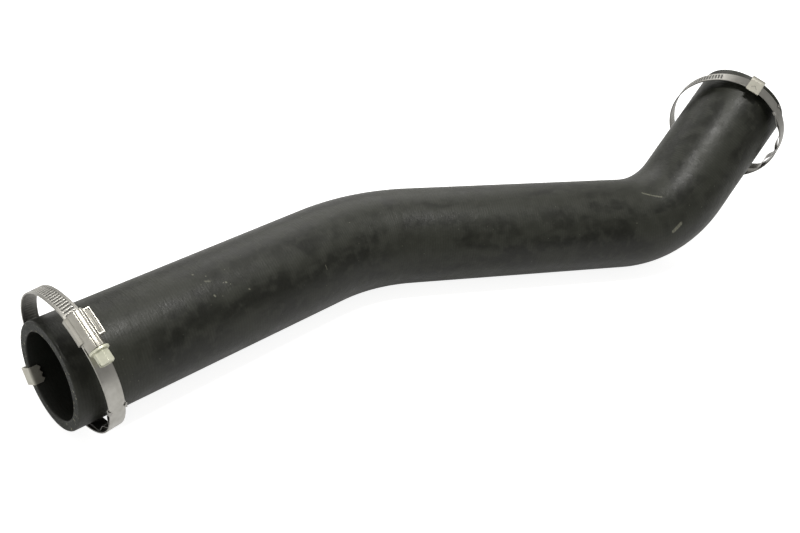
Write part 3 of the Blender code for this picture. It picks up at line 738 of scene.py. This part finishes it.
def build_band(prefix, ring):
    """The band: a strip r(a) swept round the ring, its outer face less the groove depth and
    its inner face pressed in by half as much, with rounded edges."""
    rows = round((FREE_END_ANGLE - FIXED_END_ANGLE) / BAND_ROW_STEP)
    angle = np.linspace(FIXED_END_ANGLE, FREE_END_ANGLE, rows)[:, None]
    half = BAND_WIDTH / 2
    lip = BAND_THICKNESS / 4
    across = np.linspace(-half + lip, half - lip, BAND_PLACES)
    edge = np.array([half, half])
    place = np.concatenate([across, edge, across[::-1], -edge])[None, :]
    up = np.concatenate([np.ones(BAND_PLACES), [0.75, 0.25],
                         np.zeros(BAND_PLACES), [0.25, 0.75]])[None, :]
    depth = groove(angle, place) * (0.45 + 0.55 * up)
    radius = band_inner_radius(angle) + BAND_THICKNESS * up - depth
    sections = ring_point(angle, radius, place)
    laid = np.stack(np.broadcast_arrays(angle * RING_OUTER_RADIUS, place, radius), axis=-1)
    points, faces = loft(sections)
    # Painted shade: the grooves' hollows are darkened, and the far clamp's whole band is darker
    groove_shade = smooth_step(depth * up / GROOVE_DEPTH * 1.3)
    clamp_shade = CLAMP_PAINTED_SHADE[prefix]
    dark = clamp_shade + (GROOVE_PAINTED_SHADE - clamp_shade) * groove_shade + np.zeros_like(radius)
    piece(prefix + "_clamp_band_finished", (ring.row(points), faces), BAND_STEEL,
          laid, "band_steel", dark=dark)


# The screw's axis above the ring's centre, clear of the band's upper layer
WORM_AXIS = float(band_inner_radius(2 * pi)) + BAND_THICKNESS + CLEARANCE + WORM_CREST_RADIUS


def collar_radius():
    """The collar's radius, which just clears the band that leaves the housing below it."""
    angle = asin((HOUSING_LENGTH / 2 + CLEARANCE) / RING_OUTER_RADIUS)
    band_top = (float(band_inner_radius(angle)) + BAND_THICKNESS) * cos(angle)
    return WORM_AXIS - band_top - CLEARANCE


def rounded(corners, size):
    """A closed outline with every corner replaced by a quadratic curve that starts and ends
    size, or at most 0.45 of the side, away from it."""
    corners = np.asarray(corners, float)
    before = np.roll(corners, 1, axis=0) - corners
    after = np.roll(corners, -1, axis=0) - corners
    reach_before = np.minimum(size, 0.45 * np.linalg.norm(before, axis=1))[:, None]
    reach_after = np.minimum(size, 0.45 * np.linalg.norm(after, axis=1))[:, None]
    start = corners + unit(before) * reach_before
    end = corners + unit(after) * reach_after
    t = np.linspace(0, 1, CORNER_POINTS)[None, :, None]
    curve = ((1 - t) ** 2 * start[:, None] + 2 * t * (1 - t) * corners[:, None]
             + t ** 2 * end[:, None])
    return curve.reshape(-1, 2)


def worm_arch(count):
    """Points of the half circle over the worm, from the plain side's foot to the lug side's."""
    return [(TUNNEL * cos(turn), WORM_AXIS + TUNNEL * sin(turn))
            for turn in np.linspace(0, pi, count)]


def over_the_ridges(shrink):
    """The outline over the worm, from the wall on the plain side to that on the lug side."""
    sheet = SHEET - shrink
    wall = TUNNEL + sheet
    roof = WORM_AXIS + wall
    crest = roof + RIDGE_HEIGHT
    ridge = RIDGE_SPACING / 2
    side = [(wall, WORM_AXIS - TUNNEL / 2 + SHEET), (wall, WORM_AXIS + TUNNEL / 3),
            (ridge + SHEET, roof), (ridge + RIDGE_TOP, crest), (ridge - RIDGE_TOP, crest),
            (ridge - SHEET, roof)]
    return side + [(-across, height) for across, height in side[::-1]]


def saddle_outlines(x, shrink):
    """Outer and inner outlines of the closed part of the housing at a place along the screw:
    from the saddle round the plain side, over the ridges and down the lug. shrink pulls the
    outer one in for a rounded end."""
    slot = BAND_WIDTH / 2 + CLEARANCE
    angle = atan2(x, float(band_inner_radius(0.0)))
    floor = float(band_inner_radius(angle)) * cos(angle) - CLEARANCE
    sheet = SHEET - shrink
    shelf = WORM_AXIS - TUNNEL / 2
    flank = slot + sheet
    lug = flank + LUG_REACH
    lug_top = shelf + LUG_RISE - LUG_RECESS - shrink
    over = over_the_ridges(shrink)
    outer = [(0.0, floor - sheet), (slot, floor - sheet), (flank, floor), (flank, floor + sheet),
             (flank, shelf - sheet), *over[:-1], (over[-1][0], lug_top), (-lug, lug_top),
             (-lug, floor + sheet), (-flank, floor), (-slot, floor - sheet)]
    ledge = shelf - CLEARANCE
    corner = CLEARANCE / 2
    inner = [(0.0, floor), (slot - corner, floor), (slot, floor + corner),
             (slot, floor + SHEET), (slot, ledge - SHEET / 2), (TUNNEL, ledge), *worm_arch(10),
             (-TUNNEL, ledge), (-slot, ledge - SHEET / 2), (-slot, floor + SHEET),
             (-slot, floor + corner), (-slot + corner, floor)]
    return rounded(outer, OUTSIDE_BEND), rounded(inner, INSIDE_BEND)


def tail_outline(shrink):
    """The outline of the housing past its saddle: an arch of sheet over the worm whose feet
    stand above the band."""
    foot = WORM_AXIS - TUNNEL + CLEARANCE
    inside = TUNNEL + SHEET / 2
    outside = inside + SHEET - shrink
    edge = WORM_AXIS - TUNNEL / 2 - SHEET
    outline = [(outside, foot), (outside, edge), *over_the_ridges(shrink), (-outside, edge),
               (-outside, foot), (-inside, foot), (-inside, edge), *worm_arch(14)[::-1],
               (inside, edge), (inside, foot)]
    return rounded(outline, TAIL_BEND)


def along_screw(outlines, places):
    """Sections of the ring's frame from outlines across the housing at places along it."""
    return np.stack([np.column_stack([outline[:, 1], np.full(len(outline), -x), outline[:, 0]])
                     for outline, x in zip(outlines, places)])


def raised_rim(low, high, base, height, width):
    """A rim with rounded edges standing on a rectangle: a closed loop of sections."""
    corners = np.array([low, (high[0], low[1]), high, (low[0], high[1])])
    loops = []
    for inset, rise in RIM_PROFILE:
        inward = np.sign(corners.mean(axis=0) - corners) * inset * width
        loop = rounded(corners + inward, RIM_BEND)
        loops.append(np.column_stack([np.full(len(loop), base + rise * height), loop]))
    return closed_loft(np.stack(loops))


def lug_box():
    """The low and high corners of a thin box round the lug's top inside its rim: places along
    the screw, across it and up."""
    half = HOUSING_LENGTH / 2
    lug = BAND_WIDTH / 2 + CLEARANCE + SHEET + LUG_REACH
    base = WORM_AXIS - TUNNEL / 2 + LUG_RISE - LUG_RECESS
    low = (half - SADDLE_LENGTH + LUG_RIM, -lug + LUG_RIM, base - 0.1 * MM)
    return low, (half - LUG_RIM, -TUNNEL - SHEET - LUG_RIM, base + 0.1 * MM)


# The lug's top inside its rim gets striped painted shade, where it would shine with the lamp
HOUSING_STEEL = steel_finish("housing_steel", (0.47, 0.455, 0.41), (0.4, 0.385, 0.34), 0.28,
                             (0.2, 1.0, 1.0), 0.2, lug_box())


def build_housing(prefix, ring):
    """The housing: its saddle and tail lofted along the screw and drawn in over the last of
    each end, and the rim round the lug's recess."""
    half = HOUSING_LENGTH / 2
    saddle_end = SADDLE_LENGTH - half
    middle = np.linspace(-half + MM, saddle_end - MM, SADDLE_ROWS)
    places = np.concatenate([-half + END_INSETS, middle, saddle_end - END_INSETS[::-1]])
    shrink = np.concatenate([END_DRAWS, np.zeros(len(middle)), END_DRAWS[::-1]])
    outer, inner = zip(*(saddle_outlines(x, pull) for x, pull in zip(places, shrink)))
    saddle = tube_between(along_screw(outer, places), along_screw(inner, places))
    places = np.concatenate([[saddle_end - MM, saddle_end], half - END_INSETS[::-1]])
    shrink = np.concatenate([[0.01 * MM, 0.01 * MM], END_DRAWS[::-1]])
    tail = loft(along_screw([tail_outline(pull) for pull in shrink], places))
    low, high = np.array(lug_box())
    rim = raised_rim(low[:2] - LUG_RIM, high[:2] + LUG_RIM, low[2] + 0.1 * MM, LUG_RECESS, LUG_RIM)
    points, faces = joined([saddle, tail, rim])
    piece(prefix + "_clamp_housing_finished", (ring.row(points), faces), HOUSING_STEEL,
          points[:, [1, 2, 0]], "housing_steel")


def tube_between(outer, inner):
    """Points and faces of a tube whose outer and inner outlines have unlike counts: each end
    face joins every outer point to the inner point at the same share of the way round."""
    sides = outer.shape[1]
    inner_sides = inner.shape[1]
    share = np.arange(sides) / sides
    pick = np.interp(share, np.arange(inner_sides + 1) / inner_sides, np.arange(inner_sides + 1))
    low = np.floor(pick).astype(int) % inner_sides
    part = (pick - np.floor(pick))[None, :, None]
    even = inner[:, low] * (1 - part) + inner[:, (low + 1) % inner_sides] * part
    return closed_loft(np.concatenate([outer, even[::-1]]))


def thread_radius(turn, height, start, end):
    """The worm's radius: a crest and a root joined by flanks, advancing one pitch a turn and
    fading to the root at both ends."""
    crest = thread_shape(turn / (2 * pi) - height / GROOVE_PITCH)
    fade = smooth_step(np.minimum(height - start, end - height) / GROOVE_PITCH)
    return WORM_ROOT_RADIUS + (WORM_CREST_RADIUS - WORM_ROOT_RADIUS) * crest * fade


def turned_solid(radius, height):
    """Sections (r cos a, r sin a, h) of a solid round +Z, whose radius r may change with the
    turn a."""
    return np.stack(np.broadcast_arrays(radius * np.cos(TURNS), radius * np.sin(TURNS), height),
                    axis=-1)


def hexagon_head(base, tip):
    """A slotted hexagon head, lofted across its corners. At a place x the half width is that
    of the hexagon's chord, and the top is a shallow cone cut by the slot."""
    corner = HEX_ACROSS_FLATS / sqrt(3)
    slot = SLOT_WIDTH / 2
    side = np.linspace(slot, corner - 0.02 * MM, 9)
    x = np.concatenate([-side[::-1], [-slot, slot], side])
    in_slot = np.zeros(len(x), bool)
    in_slot[len(side):len(side) + 2] = True
    chord = np.minimum(HEX_ACROSS_FLATS / 2, sqrt(3) * (corner - np.abs(x)))
    share = np.array([-1, -0.97, -0.9, -0.75, -0.5, -0.25, 0, 0.25, 0.5, 0.75, 0.9, 0.97, 1.0])
    y = chord[:, None] * share
    reach = np.sqrt(x[:, None] ** 2 + y ** 2)
    past = np.maximum(0, reach - HEX_CHAMFER_START * HEX_ACROSS_FLATS / 2)
    top = tip - past * np.tan(HEX_CHAMFER)
    top = np.where(in_slot[:, None], tip - SLOT_DEPTH, top)
    upper = np.stack(np.broadcast_arrays(x[:, None], y, top), axis=-1)
    lower = np.stack(np.broadcast_arrays(x[:, None], y[:, ::-1], base), axis=-1)
    return np.concatenate([upper, lower], axis=1)


def joined(shapes):
    """Several solids' points and faces as one."""
    points, faces, start = [], [], 0
    for some_points, some_faces in shapes:
        points.append(some_points)
        faces += [[start + index for index in face] for face in some_faces]
        start += len(some_points)
    return np.concatenate(points), faces


def build_screw(prefix, ring):
    """The screw: worm thread, rounded collar and slotted hexagon head on one axis."""
    half = HOUSING_LENGTH / 2
    seat = half + CLEARANCE
    face = seat + COLLAR_THICKNESS
    start, end = -half + SHEET, seat + COLLAR_THICKNESS / 2
    rows = round((end - start) / GROOVE_PITCH * ROWS_PER_THREAD)
    height = np.linspace(start, end, rows)[:, None]
    worm = turned_solid(thread_radius(TURNS, height, start, end), height)
    rim = collar_radius()
    soft = COLLAR_ROUND
    bend = np.linspace(0, pi / 2, 4)
    low = np.column_stack([rim - soft + soft * np.sin(bend), seat + soft - soft * np.cos(bend)])
    high = np.column_stack([rim - soft + soft * np.cos(bend), face - soft + soft * np.sin(bend)])
    profile = np.concatenate([[[COLLAR_CORE, seat]], low, high, [[COLLAR_CORE, face]]])
    collar = turned_solid(profile[:, :1], profile[:, 1:])
    head = hexagon_head(face - COLLAR_THICKNESS / 2, face + HEX_LENGTH)
    points, faces = joined([loft(worm), loft(collar), loft(head)])
    local = np.column_stack([WORM_AXIS + points[:, 0], -points[:, 2], points[:, 1]])
    piece(prefix + "_clamp_screw_finished", (ring.row(local), faces), SCREW_ZINC,
          points, "screw_zinc", prefix + "_screw_body", sharp=radians(25))


def hook_section(angle, reach):
    """A channel round the band: under its inner face, up both edges, and folded over it by
    the reach."""
    inner = RING_INNER_RADIUS - CLEARANCE
    outer = RING_OUTER_RADIUS + CLEARANCE
    half = BAND_WIDTH / 2 + CLEARANCE
    sheet = LINER_THICKNESS
    lip = half - reach
    outline = [(-lip, outer), (-half, outer), (-half, inner), (half, inner), (half, outer),
               (lip, outer), (lip, outer + sheet), (half + sheet, outer + sheet),
               (half + sheet, inner - sheet), (-half - sheet, inner - sheet),
               (-half - sheet, outer + sheet), (-lip, outer + sheet)]
    across, radius = rounded(outline, HOOK_BEND).T
    return ring_point(angle, radius, across)


def build_liner(prefix, ring):
    """The spring liner: a strip waved towards the hose, less deeply near the mounting clip,
    and the two channels with pointed lips that hook its ends over the band."""
    share = np.linspace(0.0, 1.0, LINER_WAVES * LINER_STEPS_PER_WAVE + 1)
    hook = LINER_HOOK_LENGTH / RING_OUTER_RADIUS
    angle = LINER_START_ANGLE + (LINER_END_ANGLE - LINER_START_ANGLE) * share
    wave = (1 - np.cos(2 * pi * LINER_WAVES * share)) / 2
    radius = (RING_INNER_RADIUS - CLEARANCE - LINER_THICKNESS / 2
              - LINER_WAVE_DEPTH * (1 - LINER_WAVE_FADE * share) * wave)
    edges = np.linspace(LINER_WIDTH / 2, -LINER_WIDTH / 2, 5)
    middle = ring_point(angle[:, None], radius[:, None], edges[None, :])
    normals = unit(np.cross(np.gradient(middle, axis=0), np.array([0, 0, 1.0])))
    parts = [slab(middle, normals, LINER_THICKNESS)]
    for place in (LINER_START_ANGLE, LINER_END_ANGLE):
        sections = [hook_section(place + step * hook / 2,
                                 LINER_LIP - (LINER_LIP - LINER_LIP_ROOT) * abs(step))
                    for step in np.linspace(-1, 1, HOOK_STEPS)]
        parts.append(loft(np.array(sections)))
    points, faces = joined(parts)
    across = points[:, 2]
    around = np.arctan2(-points[:, 1], points[:, 0]) * RING_OUTER_RADIUS
    laid = np.column_stack([around, across, np.hypot(points[:, 0], points[:, 1])])
    piece(prefix + "_spring_liner_finished", (ring.row(points), faces), LINER_STEEL,
          laid, "liner_steel", bevel=0.08 * MM)


def rounded_path(corners, sides, bend):
    """A path through corner points with its bends rounded by quadratic curves, and the width
    direction at each of its points."""
    points = [corners[0]]
    widths = [sides[0]]
    for before, corner, after, side_in, side_out in zip(corners, corners[1:], corners[2:],
                                                        sides[1:], sides[2:]):
        into = unit(corner - before)
        out = unit(after - corner)
        angle = atan2(np.linalg.norm(np.cross(into, out)), into @ out)
        reach = bend * np.tan(angle / 2)
        t = np.linspace(0.0, 1.0, CLIP_BEND_POINTS)[:, None]
        points.extend((1 - t) ** 2 * (corner - into * reach) + 2 * t * (1 - t) * corner
                      + t ** 2 * (corner + out * reach))
        widths.extend(unit((1 - t) * side_in + t * side_out))
    points.append(corners[-1])
    widths.append(sides[-1])
    return np.array(points), np.array(widths)


def build_clip(prefix, end, ring):
    """The mounting clip: a plate over the band, a leg down across the cut end and a leg in
    the bore that ends in barbs."""
    sheet = CLIP_SHEET
    normal = ring.place(ring_point(CLIP_ANGLE, 1.0, 0.0)) - ring.centre
    along_band = np.cross(normal, ring.axis)
    surface = ring.place(ring_point(CLIP_ANGLE, RING_OUTER_RADIUS, 0.0))
    plate = surface + (CLEARANCE + sheet / 2) * normal
    rear = plate - ring.axis * (BAND_WIDTH / 2 + CLIP_OVERHANG)
    front = plate + ring.axis * (BAND_WIDTH / 2 + CLEARANCE)

    offset = front - end.centre
    spoke = unit(offset - (offset @ end.outward) * end.outward)
    along_hose = np.cross(spoke, end.outward)
    stand = CLEARANCE + sheet / 2
    rim = max(offset @ spoke, end.radius + stand)
    bore = end.radius - HOSE_WALL
    leg = sqrt((bore - CLEARANCE) ** 2 - (CLIP_WIDTH / 2) ** 2) - sheet / 2
    inside = end.before_cut(spoke, leg, stand)
    corners = [rear, front, end.before_cut(spoke, rim, stand), inside,
               inside - end.outward * (CLIP_INNER_LEG - BARB_DEPTH)]
    sides = [along_band, along_band, along_hose, along_hose, along_hose]
    points, widths = rounded_path(corners, sides, CLIP_BEND)

    columns = np.linspace(-0.5, 0.5, 2 * BARBS + 1)
    tooth = np.arange(2 * BARBS + 1) % 2
    middle = points[:, None, :] + columns[None, :, None] * CLIP_WIDTH * widths[:, None, :]
    tips = (middle[-1] - end.outward * BARB_DEPTH
            * (BARB_VALLEY + (1 - BARB_VALLEY) * tooth[:, None]))
    middle = np.concatenate([middle, tips[None]])
    normals = unit(np.cross(np.gradient(middle, axis=0), np.gradient(middle, axis=1)))
    steps = np.linalg.norm(np.diff(middle[:, 0], axis=0), axis=1)
    length = np.concatenate([[0], np.cumsum(steps)])
    points, faces = slab(middle, normals, sheet)
    flat = np.stack(np.broadcast_arrays(columns[None, :] * CLIP_WIDTH, length[:, None], 0.0),
                    axis=-1)
    laid = np.concatenate([flat, flat[:, ::-1]], axis=1)
    bent = BAND_WIDTH + CLIP_OVERHANG
    in_bore = length[-1] - CLIP_INNER_LEG
    # Painted shade on the clip: the far clip darker past its plate, where its bend would shine,
    # and every clip darker on its leg in the bore
    dark = (CLAMP_PAINTED_SHADE[prefix] + BEND_PAINTED_SHADE[prefix] * smooth_step((length - bent) / PAINTED_SHADE_FADE)
            + BORE_PAINTED_SHADE * smooth_step((length - in_bore) / PAINTED_SHADE_FADE))
    dark = np.repeat(np.clip(dark, 0, 0.9), 2 * len(columns))
    piece(prefix + "_mounting_clip_finished", (PLACING.points(points), faces), CLIP_STEEL,
          laid, "clip_steel", bevel=0.1 * MM, dark=dark)


def build_clamp(prefix, end, placing):
    """One open clamp on a hose end, with the clip that holds it there."""
    ring = Ring(end, **placing)
    build_band(prefix, ring)
    build_housing(prefix, ring)
    build_screw(prefix, ring)
    build_liner(prefix, ring)
    build_clip(prefix, end, ring)


def build_floor():
    """A plain white floor. To the camera it is mostly its own white, and the rest of it takes
    the part's soft shadow."""
    mesh = bpy.data.meshes.new("floor")
    sides = (-FLOOR_REACH, FLOOR_REACH)
    mesh.from_pydata([(x, y, 0) for x in sides for y in sides], [], [(0, 2, 3, 1)])
    finish = Finish("floor_white")
    seen = (finish.node("LightPath", output="Is Camera Ray")
            + finish.node("LightPath", output="Is Glossy Ray") * FLOOR_GLOSSY_SHARE)
    finish.set(Base_Color=(0.6, 0.6, 0.6), Roughness=0.9, Specular_IOR_Level=0.0,
               Emission_Color=(1.0, 1.0, 1.0), Emission_Strength=seen * FLOOR_WHITE)
    mesh.materials.append(finish.material)
    linked("floor", mesh)


def area_light(name, place, aim, size, power):
    """A square soft light at a place, aimed at a point."""
    lamp = bpy.data.lights.new(name, "AREA")
    lamp.size = size
    lamp.energy = power
    lamp.color = LAMP_TINT
    made = linked(name, lamp)
    made.location = place
    made.rotation_euler = (Vector(aim) - Vector(place)).to_track_quat("-Z", "Y").to_euler()


def light_scene():
    """A bright studio: a sky greyer on the camera's side and plain white where the camera
    sees it, a small lamp overhead, and soft ones at the near end and behind."""
    world = bpy.data.worlds.new("studio")
    bpy.context.scene.world = world
    finish = Finish("studio", world, "Background")
    x, y, z = finish.axes(finish.node("TexCoord", output="Generated"))
    glossy = finish.node("LightPath", output="Is Glossy Ray")
    seen = finish.node("LightPath", output="Is Camera Ray")
    behind = finish.step(x * 0.5 + y * 0.42 + z * 0.75, -0.75, 0.85)
    level = (behind * SKY_BEHIND + SKY_LEVEL) * (glossy * SKY_GLOSSY_GAIN + 1.0)
    finish.set(Color=finish.mix(seen, SKY_TINT, (1.0, 1.0, 1.0)),
               Strength=finish.maths("MAXIMUM", level, seen))
    area_light("key_light", (-0.06, -0.12, 1.15), (0, 0, 0), 0.16, 9.0)
    area_light("fill_light", (-1.4, -0.15, 0.45), (-0.2, 0, 0), 0.7, 2.5)
    area_light("back_light", (0.6, 0.9, 0.8), (0, 0, 0), 0.9, 6.0)


def set_camera():
    """The photograph's camera, carried into the row frame."""
    lens = bpy.data.cameras.new("camera")
    lens.sensor_width = SENSOR_WIDTH
    lens.lens = FOCAL_PIXELS / IMAGE_WIDTH * SENSOR_WIDTH
    lens.clip_start = 0.01
    camera = linked("camera", lens)
    forward = unit(CAMERA_FORWARD)
    right = unit(CAMERA_RIGHT - (CAMERA_RIGHT @ forward) * forward)
    up = np.cross(right, forward)
    pose = np.eye(4)
    pose[:3, :3] = PLACING.directions([right, up, -forward]).T
    pose[:3, 3] = PLACING.points(CAMERA_PLACE)
    camera.matrix_world = Matrix(pose.tolist())
    bpy.context.scene.camera = camera


set_camera()
light_scene()
build_floor()
ENDS, TANGENTS, _ = centreline([0.0, HOSE_LENGTH])
NEAR_END = HoseEnd(ENDS[0], -TANGENTS[0], HOSE_OUTER_RADIUS, NEAR_CUT_SLANT)
FAR_END = HoseEnd(ENDS[1], TANGENTS[1], HOSE_OUTER_RADIUS + HOSE_GROWTH, FAR_CUT_SLANT)
build_hose(NEAR_END, FAR_END)
build_clamp("near", NEAR_END, NEAR_RING)
build_clamp("far", FAR_END, FAR_RING)

bpy.context.scene.view_settings.view_transform = "Standard"
